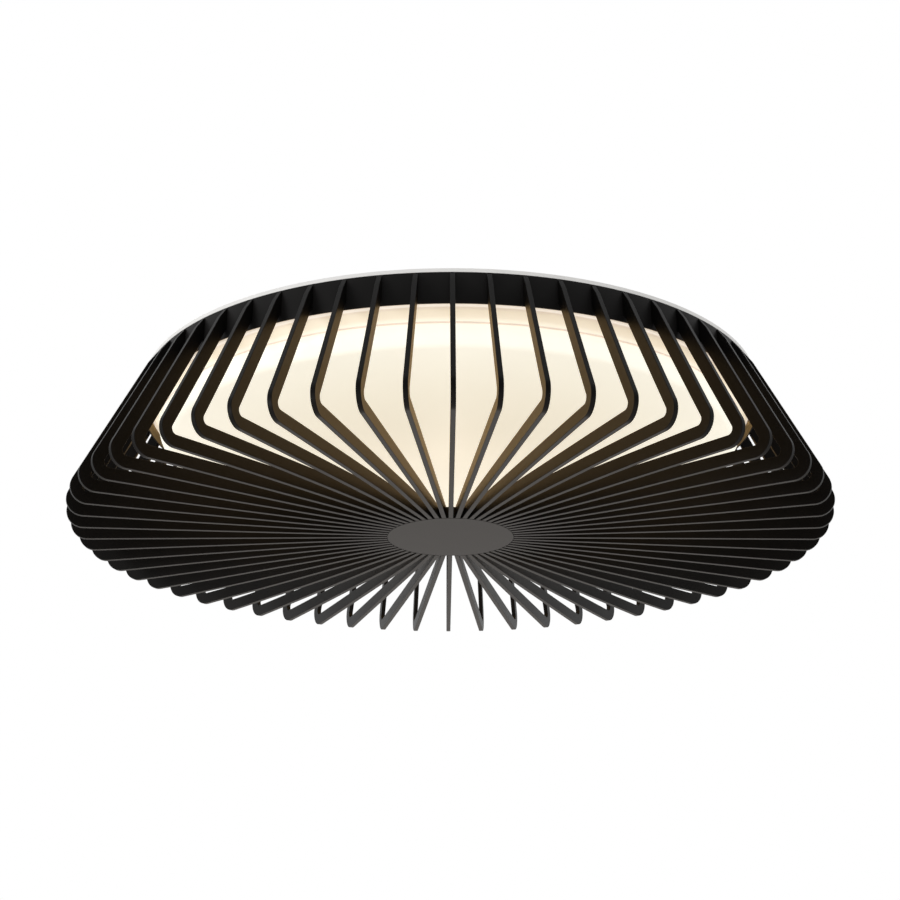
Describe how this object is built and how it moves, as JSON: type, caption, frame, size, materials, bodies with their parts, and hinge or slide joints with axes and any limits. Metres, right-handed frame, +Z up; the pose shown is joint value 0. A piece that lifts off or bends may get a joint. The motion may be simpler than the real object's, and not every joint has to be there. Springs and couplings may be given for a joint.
{
  "type": "ceiling light",
  "caption": "Flush round LED ceiling light: opal drum diffuser under a white pan, inside a black cage of flat radial fins that run to a round hub.",
  "frame": {"origin": "centre of the ceiling face of the base pan, on the axis of its ceiling holes", "axes": "+Z up into the ceiling, along the light's axis; +X towards the supply opening; -Y the side nearest the picture's camera"},
  "size_m": [0.5826, 0.5826, 0.1179],
  "materials": {
    "cage_black": "satin black powder coat",
    "pan_white": "satin white powder coat",
    "hook_zinc": "zinc plated",
    "opal": "opal, lit from inside in warm white",
    "lug_white": "moulded",
    "board_white": "white solder mask",
    "chip_yellow": "phosphor",
    "connector_white": "moulded",
    "driver_white": "moulded",
    "circuit_green": "circuit board with dark parts",
    "terminal_white": "moulded",
    "screw_steel": "zinc plated",
    "rubber_black": "matt",
    "tag_brass": "plain",
    "lead_brown": "insulation",
    "lead_green": "insulation",
    "lead_red": "insulation"
  },
  "bodies": {
    "base": {"base_pan": "pan_white", "board_links": "connector_white", "cable_grommet": "rubber_black", "cage_hook_1": "hook_zinc", "cage_hook_2": "hook_zinc", "cage_hook_3": "hook_zinc", "cage_hook_4": "hook_zinc", "diffuser_hook_1": "hook_zinc", "diffuser_hook_2": "hook_zinc", "diffuser_hook_3": "hook_zinc", "diffuser_hook_4": "hook_zinc", "driver_board": "circuit_green", "driver_case": "driver_white", "driver_lid": "driver_white", "driver_screws": "screw_steel", "earth_lead": "lead_green", "earth_tag": "tag_brass", "led_board_1": "board_white", "led_board_2": "board_white", "led_board_3": "board_white", "led_board_4": "board_white", "led_chips": "chip_yellow", "led_connector": "connector_white", "led_leads": "lead_red", "supply_leads": "lead_brown", "terminal_block": "terminal_white", "terminal_screws": "screw_steel"},
    "cage": {"cage_lug_1": "cage_black", "cage_lug_2": "cage_black", "cage_lug_3": "cage_black", "cage_lug_4": "cage_black", "fins_01": "cage_black", "fins_02": "cage_black", "fins_03": "cage_black", "fins_04": "cage_black", "fins_05": "cage_black", "fins_06": "cage_black", "fins_07": "cage_black", "fins_08": "cage_black", "fins_09": "cage_black", "fins_10": "cage_black", "fins_11": "cage_black", "fins_12": "cage_black", "hub": "cage_black", "top_band": "cage_black"},
    "diffuser": {"diffuser": "opal", "diffuser_lug_1": "lug_white", "diffuser_lug_2": "lug_white", "diffuser_lug_3": "lug_white", "diffuser_lug_4": "lug_white"}
  },
  "joints": [
    {"name": "cage_twist", "type": "hinge", "parent": "base", "child": "cage", "pos_m": [0, 0, 0], "axis": [0, 0, -1], "range_deg": [0, 10]},
    {"name": "diffuser_twist", "type": "hinge", "parent": "base", "child": "diffuser", "pos_m": [0, 0, 0], "axis": [0, 0, -1], "range_deg": [0, 10]}
  ]
}
